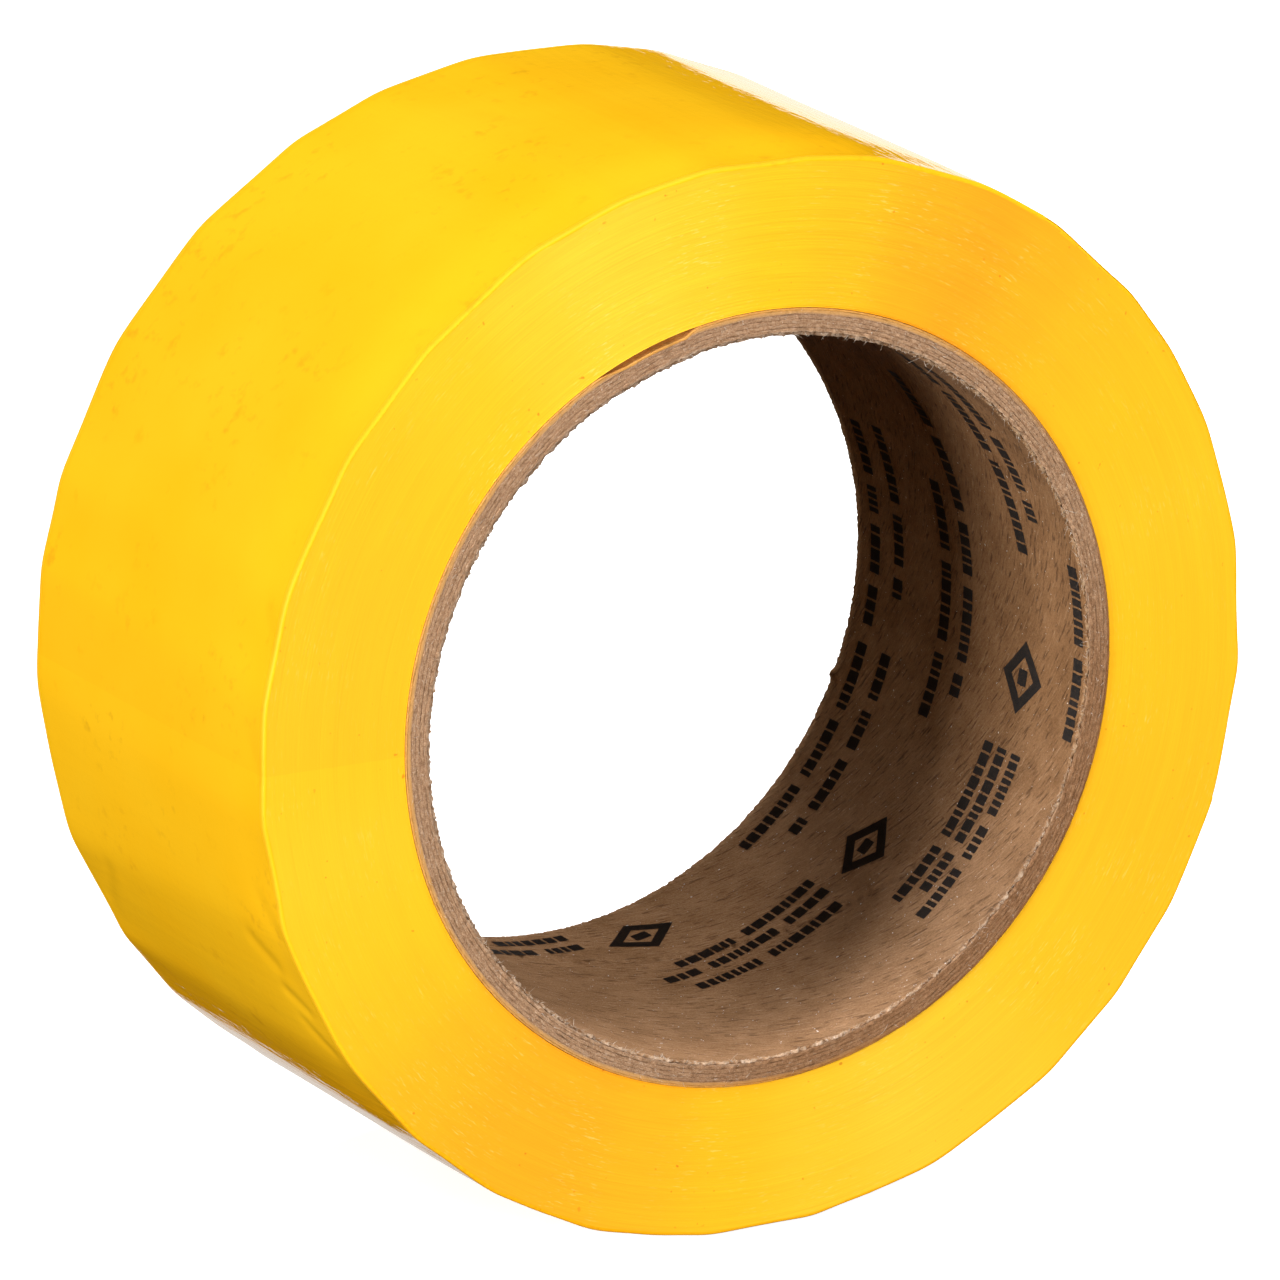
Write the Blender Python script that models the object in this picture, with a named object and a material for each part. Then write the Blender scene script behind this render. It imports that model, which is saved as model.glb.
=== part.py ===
"""A roll of glossy yellow packing tape on a spiral-wound paperboard core.

The roll stands on its rim. Its axis runs along Y, with the front face towards -Y, and the origin is
on the surface that it stands on, below the middle of the roll. Bearings are degrees round the
axis, from +X towards +Z. The rim isn't quite round: the wound film has soft corners with nearly
straight chords between them, which fade out towards the core.
"""

import math

import bmesh
import bpy

MM = 0.001

# Paperboard core, on the trade's 3 inch bore
BORE_RADIUS = 38.1 * MM
CORE_LENGTH = 48.0 * MM
INNER_LINER = 0.30 * MM
BODY_PLY = 0.40 * MM
BODY_PLIES = 5
OUTER_LINER = 0.22 * MM
GLUE_LINE = 0.04 * MM
PLY_STRIP_WIDTH = 127.0 * MM
SEAM_GAP = 0.6 * MM
CUTTER_MARGIN = 1.0 * MM

# Wound tape
RIM_RADIUS = 57.0 * MM
TAPE_WIDTH = 50.4 * MM
CORE_STANDS_PROUD = 0.4 * MM
DISH = 0.4 * MM
FIRST_TURN = 0.15 * MM
TURN_GROUPS = 6
GROUP_GAP = 0.05 * MM
RIM_CHAMFER = 0.4 * MM

# Free end of the tape, a chain of flat lengths that lie on the rim's chords
END_THICKNESS = 0.15 * MM
END_CLEARANCE = 0.15 * MM
POCKET_DEPTH = END_THICKNESS + END_CLEARANCE
POCKET_RAMP = 0.5
END_HINGES = (-19, -5, 10, 22, 31, 40)
END_TIP = 54

# Bearings of the rim's soft corners. The roll stands on the chord from -97 to -83.
STANDING_CORNERS = (-97, -83)
RIM_CORNERS = (
    -83, -68, -54, -42, -30, -19, -5, 10, 22, 31, 40, 54, 70, 84,
    96, 107, 118, 132, 146, 161, 172, 184, 199, 214, 226, 238, 251, 263,
)

STANDING_CHORD = math.radians(STANDING_CORNERS[1] - STANDING_CORNERS[0])
AXIS_HEIGHT = RIM_RADIUS * math.cos(STANDING_CHORD / 2)
TAPE_FRONT = -(TAPE_WIDTH + DISH - CORE_STANDS_PROUD) / 2
CORE_FRONT = TAPE_FRONT - CORE_STANDS_PROUD
CORE_RADIUS = BORE_RADIUS + INNER_LINER + BODY_PLIES * (BODY_PLY + GLUE_LINE) + GLUE_LINE + OUTER_LINER

FILM_YELLOW = (1.0, 0.56, 0.014)
WOUND_YELLOW = (1.0, 0.60, 0.02)
KRAFT = (0.32, 0.17, 0.085)
BOARD = (0.46, 0.31, 0.21)
TAN = (0.70, 0.43, 0.20)


def clear_scene():
    for old in list(bpy.data.objects):
        bpy.data.objects.remove(old, do_unlink=True)


def principled(name, colour, roughness):
    material = bpy.data.materials.new(name)
    material.use_nodes = True
    shader = material.node_tree.nodes["Principled BSDF"]
    shader.inputs["Base Color"].default_value = (*colour, 1.0)
    shader.inputs["Roughness"].default_value = roughness
    shader.inputs["Metallic"].default_value = 0.0
    material.diffuse_color = (*colour, 1.0)
    return material


def add_object(name, build, material=None):
    mesh = bpy.data.meshes.new(name)
    build.normal_update()
    build.to_mesh(mesh)
    build.free()
    piece = bpy.data.objects.new(name, mesh)
    bpy.context.collection.objects.link(piece)
    if material:
        mesh.materials.append(material)
        mesh.shade_smooth()
        mesh.set_sharp_from_angle(angle=math.radians(30))
    return piece


def chord_factor(bearing):
    """How far in a chord of the rim lies at a bearing, as a share of the corners' radius."""
    corners = [*RIM_CORNERS, RIM_CORNERS[0] + 360]
    for start, end in zip(corners, corners[1:]):
        turned = (bearing - start) % 360
        if turned < end - start:
            half = (end - start) / 2
            return math.cos(math.radians(half)) / math.cos(math.radians(turned - half))
    return 1.0


def lumpiness(radius):
    """0 at the core, where the turns are round, and 1 at the rim."""
    share = (radius - CORE_RADIUS) / (RIM_RADIUS - POCKET_DEPTH - CORE_RADIUS)
    return min(max(share, 0.0), 1.0) ** 2


def point_at(bearing, radius, y):
    """A point of the wound roll, measured from the middle of its axis."""
    flattened = radius * (1 - lumpiness(radius) * (1 - chord_factor(bearing)))
    angle = math.radians(bearing)
    return (flattened * math.cos(angle), y, flattened * math.sin(angle))


def facet_bearings(extra=()):
    """Each corner of the rim and the middle of each chord, except the chord that the roll stands on."""
    corners = [*RIM_CORNERS, RIM_CORNERS[0] + 360]
    bearings = set(RIM_CORNERS) | set(extra)
    for start, end in zip(corners, corners[1:]):
        if end != STANDING_CORNERS[1] + 360:
            bearings.add((start + end) / 2)
    return sorted(bearings)


def loft_ring(bearings, profile_at):
    """A closed ring: profile_at gives the (radius, y) corners of its section at a bearing."""
    build = bmesh.new()
    sections = [
        [build.verts.new(point_at(bearing, radius, y)) for radius, y in profile_at(bearing)]
        for bearing in bearings
    ]
    for index, section in enumerate(sections):
        following = sections[(index + 1) % len(sections)]
        for corner in range(len(section)):
            after = (corner + 1) % len(section)
            build.faces.new((section[corner], section[after], following[after], following[corner]))
    bmesh.ops.recalc_face_normals(build, faces=build.faces)
    return build


def plain_ring(name, inner, outer, front, back, material):
    section = ((inner, front), (outer, front), (outer, back), (inner, back))
    return add_object(name, loft_ring(facet_bearings(), lambda bearing: section), material)


def seam_cutter(name, inner, outer, start_bearing):
    """A thin helical blade along the butt seam where a ply's two edges meet."""
    circumference = 2 * math.pi * inner
    lead = circumference * math.tan(math.asin(PLY_STRIP_WIDTH / circumference))
    y_low = CORE_FRONT - CUTTER_MARGIN
    length = CORE_LENGTH + 2 * CUTTER_MARGIN
    steps = 10
    build = bmesh.new()
    rows = []
    for step in range(steps + 1):
        y = y_low + length * step / steps
        middle = math.radians(start_bearing) - 2 * math.pi * (y - y_low) / lead
        row = []
        for radius, side in ((inner, -1), (outer, -1), (outer, 1), (inner, 1)):
            reach = radius + (CUTTER_MARGIN if radius == outer else -CUTTER_MARGIN)
            angle = middle + side * SEAM_GAP / (2 * inner)
            row.append(build.verts.new((reach * math.cos(angle), y, reach * math.sin(angle))))
        rows.append(row)
    build.faces.new(rows[0])
    build.faces.new(rows[-1])
    for row, following in zip(rows, rows[1:]):
        for corner in range(4):
            after = (corner + 1) % 4
            build.faces.new((row[corner], row[after], following[after], following[corner]))
    bmesh.ops.recalc_face_normals(build, faces=build.faces)
    cutter = add_object(name, build)
    cutter.hide_render = True
    cutter.display_type = "WIRE"
    return cutter


def make_core(axis):
    """Seven paper strips, each wound in the same spiral with its seam a step further round."""
    kraft = principled("kraft_liner", KRAFT, 0.85)
    board = principled("paperboard", BOARD, 0.9)
    tan = principled("outer_liner_kraft", TAN, 0.8)
    plies = [("core_inner_liner", INNER_LINER, kraft)]
    plies += [(f"core_ply_{number}", BODY_PLY, board) for number in range(1, BODY_PLIES + 1)]
    plies += [("core_outer_liner", OUTER_LINER, tan)]
    inner = BORE_RADIUS
    for index, (name, thickness, material) in enumerate(plies):
        outer = inner + thickness
        ply = plain_ring(name, inner, outer, CORE_FRONT, CORE_FRONT + CORE_LENGTH, material)
        cutter = seam_cutter(name + "_seam", inner, outer, index * 360 / len(plies))
        seam = ply.modifiers.new("butt_seam", "BOOLEAN")
        seam.operation = "DIFFERENCE"
        seam.solver = "EXACT"
        seam.object = cutter
        ply.parent = axis
        cutter.parent = axis
        inner = outer + GLUE_LINE


def dished_front(radius):
    """The front face of the turns at a radius: each group sits a little further back than the last."""
    share = (radius - CORE_RADIUS) / (RIM_RADIUS - CORE_RADIUS)
    return TAPE_FRONT + DISH * share


def make_wound_tape(axis, film):
    first_inner = CORE_RADIUS + GLUE_LINE
    first_outer = first_inner + FIRST_TURN
    first = plain_ring("tape_first_turn", first_inner, first_outer, TAPE_FRONT, TAPE_FRONT + TAPE_WIDTH, film)
    first.parent = axis
    start = first_outer + GROUP_GAP
    step = (RIM_RADIUS + GROUP_GAP - start) / TURN_GROUPS
    for number in range(1, TURN_GROUPS):
        inner = start + (number - 1) * step
        outer = inner + step - GROUP_GAP
        front = dished_front(inner)
        group = plain_ring(f"tape_turns_{number}", inner, outer, front, front + TAPE_WIDTH, film)
        group.parent = axis
    last_turns(start + (TURN_GROUPS - 1) * step, film).parent = axis


def last_turns(inner, film):
    """The outermost group, whose rim is chamfered and steps down under the free end."""
    front = TAPE_FRONT + DISH
    back = front + TAPE_WIDTH

    def section(bearing):
        under_the_end = END_HINGES[0] <= bearing <= END_TIP
        rim = RIM_RADIUS - (POCKET_DEPTH if under_the_end else 0)
        return (
            (inner, front),
            (rim - RIM_CHAMFER, front),
            (rim, front + RIM_CHAMFER),
            (rim, back - RIM_CHAMFER),
            (rim - RIM_CHAMFER, back),
            (inner, back),
        )

    bearings = facet_bearings((END_HINGES[0] - POCKET_RAMP, END_TIP + POCKET_RAMP))
    return add_object(f"tape_turns_{TURN_GROUPS}", loft_ring(bearings, section), film)


def flat_length(name, length, film):
    """One length of the free end. Local x runs towards the tape's tip and z towards its adhesive side."""
    half_width = TAPE_WIDTH / 2 - RIM_CHAMFER
    build = bmesh.new()
    bmesh.ops.create_cube(build, size=1.0)
    for vert in build.verts:
        along = END_CLEARANCE if vert.co.x < 0 else length - END_CLEARANCE
        vert.co = (along, math.copysign(half_width, vert.co.y), math.copysign(END_THICKNESS / 2, vert.co.z))
    return add_object(name, build, film)


def make_free_end(axis, film):
    """A chain from the hinge line nearest the roll to the tip. Each length turns about its own origin."""
    hinge_radius = RIM_RADIUS - END_THICKNESS / 2
    middle_y = TAPE_FRONT + DISH + TAPE_WIDTH / 2
    ends = [*END_HINGES[1:], END_TIP]
    parent = axis
    location = point_at(END_HINGES[0], hinge_radius, middle_y)
    heading = 0.0
    for number, (start, end) in enumerate(zip(END_HINGES, ends), start=1):
        length = 2 * hinge_radius * math.sin(math.radians(end - start) / 2)
        new_heading = (start + end) / 2 + 90
        strip = flat_length(f"tape_end_{number}", length, film)
        strip.parent = parent
        strip.location = location
        strip.rotation_euler.y = -math.radians(new_heading - heading)
        parent = strip
        location = (length, 0.0, 0.0)
        heading = new_heading


def main():
    clear_scene()
    axis = bpy.data.objects.new("roll_axis", None)
    axis.location.z = AXIS_HEIGHT
    bpy.context.collection.objects.link(axis)
    make_core(axis)
    wound = principled("wound_tape", WOUND_YELLOW, 0.35)
    film = principled("tape_film", FILM_YELLOW, 0.18)
    make_wound_tape(axis, wound)
    make_free_end(axis, film)


main()
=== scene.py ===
"""The looks of a roll of glossy yellow packing tape on a kraft paperboard core.

Every piece is modelled over its CAD node in the same frame: the roll stands on z = 0, its axis runs
along Y with the front face towards -Y, and bearings are degrees round the axis from +X towards +Z.
Lengths are in millimetres until a mesh is made. The stage, the lights and the camera are in metres.
"""

import math
import random

import bpy
import numpy as np
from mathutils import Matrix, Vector

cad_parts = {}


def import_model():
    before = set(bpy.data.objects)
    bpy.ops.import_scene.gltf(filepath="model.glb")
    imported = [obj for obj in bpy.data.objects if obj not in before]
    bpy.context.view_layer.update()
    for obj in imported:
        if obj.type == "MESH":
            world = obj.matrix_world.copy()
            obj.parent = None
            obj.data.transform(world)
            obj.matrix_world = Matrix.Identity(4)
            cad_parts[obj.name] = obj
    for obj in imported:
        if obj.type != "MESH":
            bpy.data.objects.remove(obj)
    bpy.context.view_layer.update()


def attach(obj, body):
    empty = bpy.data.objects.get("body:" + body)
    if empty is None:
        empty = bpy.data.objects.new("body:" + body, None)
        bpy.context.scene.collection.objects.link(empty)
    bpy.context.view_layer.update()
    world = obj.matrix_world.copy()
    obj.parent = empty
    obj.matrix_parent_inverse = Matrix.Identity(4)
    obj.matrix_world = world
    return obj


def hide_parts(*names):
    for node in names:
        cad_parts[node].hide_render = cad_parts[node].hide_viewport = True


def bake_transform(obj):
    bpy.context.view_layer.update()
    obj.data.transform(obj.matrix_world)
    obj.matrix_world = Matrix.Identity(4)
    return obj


MM = 0.001

# The core, as in the CAD part
BORE_RADIUS = 38.1
INNER_LINER = 0.30
BODY_PLY = 0.40
BODY_PLIES = 5
OUTER_LINER = 0.22
GLUE_LINE = 0.04
PLY_PITCH = BODY_PLY + GLUE_LINE
CORE_FRONT = -25.6
CORE_BACK = 22.4
CORE_RADIUS = BORE_RADIUS + INNER_LINER + BODY_PLIES * PLY_PITCH + GLUE_LINE + OUTER_LINER
PLY_STRIP_WIDTH = 127.0
STRIP_ANGLE = math.asin(PLY_STRIP_WIDTH / (2 * math.pi * BORE_RADIUS))

# The wound tape, as in the CAD part
RIM_RADIUS = 57.0
TAPE_WIDTH = 50.4
HALF_WIDTH = TAPE_WIDTH / 2
TAPE_FRONT = -25.2
DISH = 0.4
EDGE_FRONT = TAPE_FRONT + DISH
POCKET_DEPTH = 0.30
FIRST_TURN_INNER = 40.90
FIRST_TURN_OUTER = 41.05
GROUP_START = 41.10
TURN_GROUPS = 6
GROUP_STEP = (RIM_RADIUS + 0.05 - GROUP_START) / TURN_GROUPS
STANDING_HALF_ANGLE = 7.0
AXIS_HEIGHT = RIM_RADIUS * math.cos(math.radians(STANDING_HALF_ANGLE))
RIM_CORNERS = (
    -83, -68, -54, -42, -30, -19, -5, 10, 22, 31, 40, 54, 63, 75, 84,
    96, 107, 118, 132, 146, 161, 172, 184, 199, 214, 225, 238, 251, 263,
)
CORNER_SOFTNESS = 1.3

# How much of the chords shows at the tape's edges and in its middle, how far the corners wander,
# and how far the rim swells and ripples as shares of its radius
EDGE_LUMPINESS = 0.98
MIDDLE_LUMPINESS = 0.50
LUMP_MIDDLE = 0.2
LUMP_HALF_WIDTH = 25.4
LUMP_REACH = 0.30
CORNER_WANDER = 1.1 / 25
SWELL = 0.0042
RIPPLE = 0.0004

# How far the front edge of the rim has sunk, in millimetres by bearing, and how far in that reaches
FRONT_DIPS = (
    (50, 0.0), (58, 0.12), (66, 0.34), (74, 0.52), (78, 0.55), (86, 1.0), (94, 0.84), (100, 0.72),
    (110, 0.80), (118, 0.66), (131, 0.95), (142, 0.75), (155, 0.50), (170, 0.38), (187, 0.30),
    (204, 0.25), (212, 0.40), (220, 0.50), (228, 0.40), (236, 0.18), (246, 0.0),
)
DIP_SOFTNESS = 1.6
DIP_REACH = 9.0

# Free end of the film, and the recess that it lies in
END_HINGES = (-19, -5, 10, 22, 31, 40)
END_TIP = 54
END_INSET = 0.35
FILM_THICKNESS = 0.07
FILM_TOP = 0.02
RECESS = 0.13
HINGE_BEND = 3.0
FIRST_HINGE_BEND = 2.5

# The outermost turn, and the shoulder where it turns into the face
WRAP_THICKNESS = 0.12
SHOULDER_RADIAL = 0.32
SHOULDER_AXIAL = 0.45


# ---- noise and shape of the wound roll


def periodic(seed, lowest, highest, count):
    """A smooth random function of bearing in degrees, about -1 to 1, that joins up at 360."""
    source = np.random.RandomState(seed)
    orders = source.randint(lowest, highest + 1, count)
    phases = source.uniform(0, 2 * math.pi, count)
    weights = source.uniform(0.4, 1.0, count)
    weights /= np.sqrt((weights**2).sum() / 2) * 1.6

    def value(bearing):
        total = np.zeros_like(np.asarray(bearing, float))
        for order, phase, weight in zip(orders, phases, weights):
            total += weight * np.sin(np.radians(bearing) * order + phase)
        return total

    return value


def smooth_step(low, high, value):
    share = np.clip((np.asarray(value, float) - low) / (high - low), 0, 1)
    return share * share * (3 - 2 * share)


TABLE_STEP = 0.1
TABLE_BEARINGS = np.arange(0, 360, TABLE_STEP)
BLUR_STEPS = 60


def softened(values, softness):
    """Values round the whole roll, one for each table bearing, blurred by this many degrees."""
    offsets = np.arange(-BLUR_STEPS, BLUR_STEPS + 1)
    kernel = np.exp(-0.5 * (offsets * TABLE_STEP / softness) ** 2)
    kernel /= kernel.sum()
    padded = np.concatenate([values[-BLUR_STEPS:], values, values[:BLUR_STEPS]])
    return np.convolve(padded, kernel, mode="valid")


def chord_table():
    """How far in the rim's chords lie, as a share of the corner radius, with the corners softened."""
    corners = [*RIM_CORNERS, RIM_CORNERS[0] + 360]
    values = np.ones_like(TABLE_BEARINGS)
    for start, end in zip(corners, corners[1:]):
        half = (end - start) / 2
        turned = (TABLE_BEARINGS - start) % 360
        inside = turned < end - start
        values[inside] = math.cos(math.radians(half)) / np.cos(np.radians(turned[inside] - half))
    return softened(values, CORNER_SOFTNESS)


def dip_table():
    """How far the front edge has sunk, as a share of the rim's radius."""
    bearings, depths = zip(*FRONT_DIPS)
    return softened(np.interp(TABLE_BEARINGS, bearings, depths), DIP_SOFTNESS) / RIM_RADIUS


CHORD_VALUES = chord_table()
DIP_VALUES = dip_table()
CORNER_DRIFT = periodic(5, 2, 9, 6)
LONG_WAVE = periodic(11, 6, 24, 9)


def looked_up(bearing, values):
    return np.interp(bearing % 360, TABLE_BEARINGS, values, period=360)


def standing_share(bearing):
    """1 on the flat that the roll stands on."""
    away = np.abs((bearing - 270 + 180) % 360 - 180)
    return smooth_step(2 * STANDING_HALF_ANGLE, STANDING_HALF_ANGLE, away)


def flattening(bearing, radius, y):
    """The factor by which the lumps of the rim draw a point towards the axis."""
    chord = looked_up(bearing + CORNER_WANDER * CORNER_DRIFT(bearing) * y, CHORD_VALUES)
    dip = looked_up(bearing, DIP_VALUES) * np.exp(-(((y - EDGE_FRONT) / DIP_REACH) ** 2))
    outermost = RIM_RADIUS - POCKET_DEPTH
    share = np.clip((radius - CORE_RADIUS) / (outermost - CORE_RADIUS), 0, 1) ** 2
    from_edge = np.clip(1 - np.abs(y - LUMP_MIDDLE) / LUMP_HALF_WIDTH, 0, 1)
    near_edge = np.exp(-((from_edge / LUMP_REACH) ** 2))
    lumpiness = MIDDLE_LUMPINESS + (EDGE_LUMPINESS - MIDDLE_LUMPINESS) * near_edge
    standing = standing_share(bearing)
    share = share * (lumpiness * (1 - standing) + standing)
    ripple = RIPPLE * LONG_WAVE(bearing + 0.08 * y) ** 2 * (1 - standing)
    return 1 - share * (1 - chord + ripple - SWELL * (1 - standing) + dip)


# ---- meshes


def finish_mesh(name, points, faces, materials, slots=None, sharp=None):
    """An object of these points, in millimetres from the roll's axis, that remembers them at rest."""
    points = np.asarray(points, np.float64).reshape(-1, 3)
    placed = points * MM
    placed[:, 2] += AXIS_HEIGHT * MM
    mesh = bpy.data.meshes.new(name)
    mesh.from_pydata(placed.tolist(), [], faces)
    rest = mesh.attributes.new("at_rest", "FLOAT_VECTOR", "POINT")
    rest.data.foreach_set("vector", points.astype(np.float32).ravel())
    for material in materials:
        mesh.materials.append(material)
    if slots:
        mesh.polygons.foreach_set("material_index", slots)
    mesh.shade_smooth()
    if sharp:
        mesh.set_sharp_from_angle(angle=math.radians(sharp))
    mesh.validate()
    piece = bpy.data.objects.new(name, mesh)
    bpy.context.scene.collection.objects.link(piece)
    return piece


def loft_faces(sections, across, closed):
    """Quads between closed sections, which join up round the roll or stop at its two ends."""
    last = sections if closed else sections - 1
    first, second = np.meshgrid(np.arange(last), np.arange(across), indexing="ij")
    first_after = (first + 1) % sections
    second_after = (second + 1) % across
    corners = (
        first * across + second,
        first * across + second_after,
        first_after * across + second_after,
        first_after * across + second,
    )
    return np.stack(corners, axis=-1).reshape(-1, 4).tolist()


def loft(name, bearings, radii, ys, materials, lumpy=True, sharp=35, closed=True, caps=(), slots=None):
    """A surface through one closed (radius, y) section at each bearing, given as 2-D arrays."""
    grid = bearings[:, None] + 0 * radii
    if lumpy:
        radii = radii * flattening(grid, radii, ys)
    angles = np.radians(grid)
    points = np.stack([radii * np.cos(angles), ys, radii * np.sin(angles)], axis=-1)
    faces = loft_faces(*radii.shape, closed) + list(caps)
    return finish_mesh(name, points, faces, materials, slots, sharp)


# ---- material graphs


def rgb(red, green, blue):
    return (red, green, blue, 1.0)


def grey_stops(stops):
    return [(position, rgb(value, value, value)) for position, value in stops]


class Graph:
    """A material and short calls that add nodes to it. Sockets and plain values both go in."""

    def __init__(self, name):
        self.material = bpy.data.materials.new(name)
        self.material.use_nodes = True
        self.tree = self.material.node_tree

    def plug(self, socket, value):
        if isinstance(value, bpy.types.NodeSocket):
            self.tree.links.new(value, socket)
        else:
            socket.default_value = value

    def add(self, kind, inputs=None, **settings):
        node = self.tree.nodes.new(kind)
        for key, value in settings.items():
            setattr(node, key, value)
        for key, value in (inputs or {}).items():
            self.plug(node.inputs[key], value)
        return node

    def shade(self, inputs):
        shader = self.tree.nodes["Principled BSDF"]
        for key, value in inputs.items():
            self.plug(shader.inputs[key], value)

    def maths(self, operation, *values):
        node = self.add("ShaderNodeMath", dict(enumerate(values)), operation=operation)
        return node.outputs[0]

    def plus(self, first, second):
        return self.maths("ADD", first, second)

    def minus(self, first, second):
        return self.maths("SUBTRACT", first, second)

    def times(self, first, second):
        return self.maths("MULTIPLY", first, second)

    def times_plus(self, first, second, third):
        return self.maths("MULTIPLY_ADD", first, second, third)

    def span(self, value, low, high, to_low=0.0, to_high=1.0):
        """to_low to to_high as the value goes from low to high, and no further."""
        limits = {"From Min": low, "From Max": high, "To Min": to_low, "To Max": to_high}
        return self.add("ShaderNodeMapRange", {"Value": value, **limits}).outputs["Result"]

    def mixed(self, factor, first, second, kind="MIX"):
        inputs = {"Factor": factor, "A": first, "B": second}
        node = self.add("ShaderNodeMix", inputs, data_type="RGBA", blend_type=kind)
        return node.outputs["Result"]

    def tinted(self, colour, tint):
        return self.mixed(1.0, colour, tint, "MULTIPLY")

    def scaled(self, colour, factor):
        inputs = {0: colour, "Scale": factor}
        return self.add("ShaderNodeVectorMath", inputs, operation="SCALE").outputs["Vector"]

    def joined(self, x, y, z):
        return self.add("ShaderNodeCombineXYZ", {"X": x, "Y": y, "Z": z}).outputs["Vector"]

    def parted(self, vector):
        return self.add("ShaderNodeSeparateXYZ", {"Vector": vector}).outputs

    def noise(self, vector, detail, roughness, scale=1.0):
        inputs = {"Vector": vector, "Scale": scale, "Detail": detail, "Roughness": roughness}
        return self.add("ShaderNodeTexNoise", inputs).outputs["Fac"]

    def ramp(self, factor, stops, interpolation="LINEAR"):
        node = self.add("ShaderNodeValToRGB", {"Fac": factor})
        band = node.color_ramp
        band.interpolation = interpolation
        while len(band.elements) < len(stops):
            band.elements.new(1.0)
        for element, (position, colour) in zip(band.elements, stops):
            element.position = position
            element.color = colour
        return node.outputs["Color"]

    def bump(self, height, distance, strength):
        inputs = {"Height": height, "Distance": distance, "Strength": strength}
        self.shade({"Normal": self.add("ShaderNodeBump", inputs).outputs["Normal"]})


class RollGraph(Graph):
    """Also knows where a shaded point is on the roll at rest, in millimetres from its axis.

    turn goes from 0 at a bearing of -180 degrees to 1 at 180.
    """

    def __init__(self, name):
        super().__init__(name)
        self.point = self.add("ShaderNodeAttribute", attribute_name="at_rest").outputs["Vector"]
        parts = self.parted(self.point)
        self.y = parts["Y"]
        flat = self.joined(parts["X"], 0.0, parts["Z"])
        length = self.add("ShaderNodeVectorMath", {0: flat}, operation="LENGTH")
        self.radius = length.outputs["Value"]
        outward = self.add("ShaderNodeVectorMath", {0: flat}, operation="NORMALIZE")
        self.outward = outward.outputs["Vector"]
        self.cos = self.parted(self.outward)["X"]
        self.sin = self.parted(self.outward)["Z"]
        self.angle = self.maths("ARCTAN2", self.sin, self.cos)
        self.turn = self.times_plus(self.angle, 1 / (2 * math.pi), 0.5)

    def grain(self, scale, detail, roughness):
        """Noise that is the same size in every direction."""
        return self.noise(self.point, detail, roughness, scale)

    def swept(self, around, across, detail, roughness):
        """Noise in streaks round the roll, on its faces."""
        x = self.times(self.cos, around)
        y = self.times(self.sin, around)
        vector = self.joined(x, y, self.times(self.radius, across))
        return self.noise(vector, detail, roughness)

    def stretched(self, around, along, detail, roughness):
        """Noise on the rim, with its own scales round it and along the axis."""
        x = self.times(self.cos, around)
        y = self.times(self.sin, around)
        vector = self.joined(x, y, self.times(self.y, along))
        return self.noise(vector, detail, roughness)

    def wound(self, across, along, detail, roughness):
        """Noise along the paper strips of the core, which are wound in a spiral."""
        twist = 1 / (BORE_RADIUS * math.tan(STRIP_ANGLE))
        turned = self.times_plus(self.y, twist, self.angle)
        x = self.times(self.maths("COSINE", turned), across)
        y = self.times(self.maths("SINE", turned), across)
        vector = self.joined(x, y, self.times(self.y, along))
        return self.noise(vector, detail, roughness)


# ---- materials

# The green channel of the face's colour, by bearing round it, with painted highlights at the upper left and
# lower right and painted shade at the upper right and lower left
FACE_GREENS_WITH_PAINTED_SHEEN = (
    (0, 0.470), (15, 0.478), (30, 0.458), (42, 0.428), (50, 0.385), (60, 0.342), (68, 0.366),
    (78, 0.430), (88, 0.468), (99, 0.503), (105, 0.522), (113, 0.530), (121, 0.508), (132, 0.478),
    (146, 0.452), (160, 0.440), (180, 0.465), (192, 0.482), (203, 0.472), (213, 0.448), (222, 0.405),
    (233, 0.370), (243, 0.372), (254, 0.408), (266, 0.458), (278, 0.496), (290, 0.522), (302, 0.507),
    (316, 0.480), (340, 0.452),
)

# The next three tables go by place round the roll: 0 is a bearing of -180 degrees and 1 is 180.
# How plainly the single turns of film show
LINE_STOPS = (
    (0.00, 0.35), (0.10, 0.35), (0.17, 0.80), (0.26, 0.60), (0.36, 0.70), (0.48, 0.50),
    (0.60, 0.45), (0.67, 0.90), (0.78, 1.0), (0.87, 0.80), (0.94, 0.45), (1.00, 0.35),
)

# Painted shade: the film is made more orange low on the roll and a little at the upper left: (place, green,
# blue)
PAINTED_SHADE_STOPS = (
    (0.00, 1.0, 1.0), (0.085, 0.98, 0.9), (0.12, 0.86, 0.6), (0.20, 0.82, 0.5), (0.30, 0.90, 0.7),
    (0.45, 1.0, 1.0), (0.72, 0.98, 0.9), (0.75, 1.0, 1.0), (0.80, 0.98, 1.0), (0.85, 0.955, 1.0),
    (0.90, 0.915, 1.0), (0.93, 0.915, 0.95), (0.97, 0.96, 0.95),
)

# Where the film is more finely rippled
RIPPLE_STOPS = (
    (0.00, 0.05), (0.10, 0.10), (0.125, 1.0), (0.17, 1.0), (0.22, 0.3), (0.62, 0.3),
    (0.665, 0.8), (0.712, 0.7), (0.74, 0.10), (1.00, 0.05),
)


def face_stops_with_painted_sheen():
    stops = []
    for bearing, green in FACE_GREENS_WITH_PAINTED_SHEEN:
        # Painted highlight: the blue rises where the green does, so the brightest sectors pale towards
        # white
        blue = 0.0145 + 0.31 * max(green - 0.47, 0.0)
        position = ((bearing + 180) % 360) / 360
        stops.append((position, rgb(0.95, 1.03 * green, blue)))
    return sorted(stops)


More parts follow.
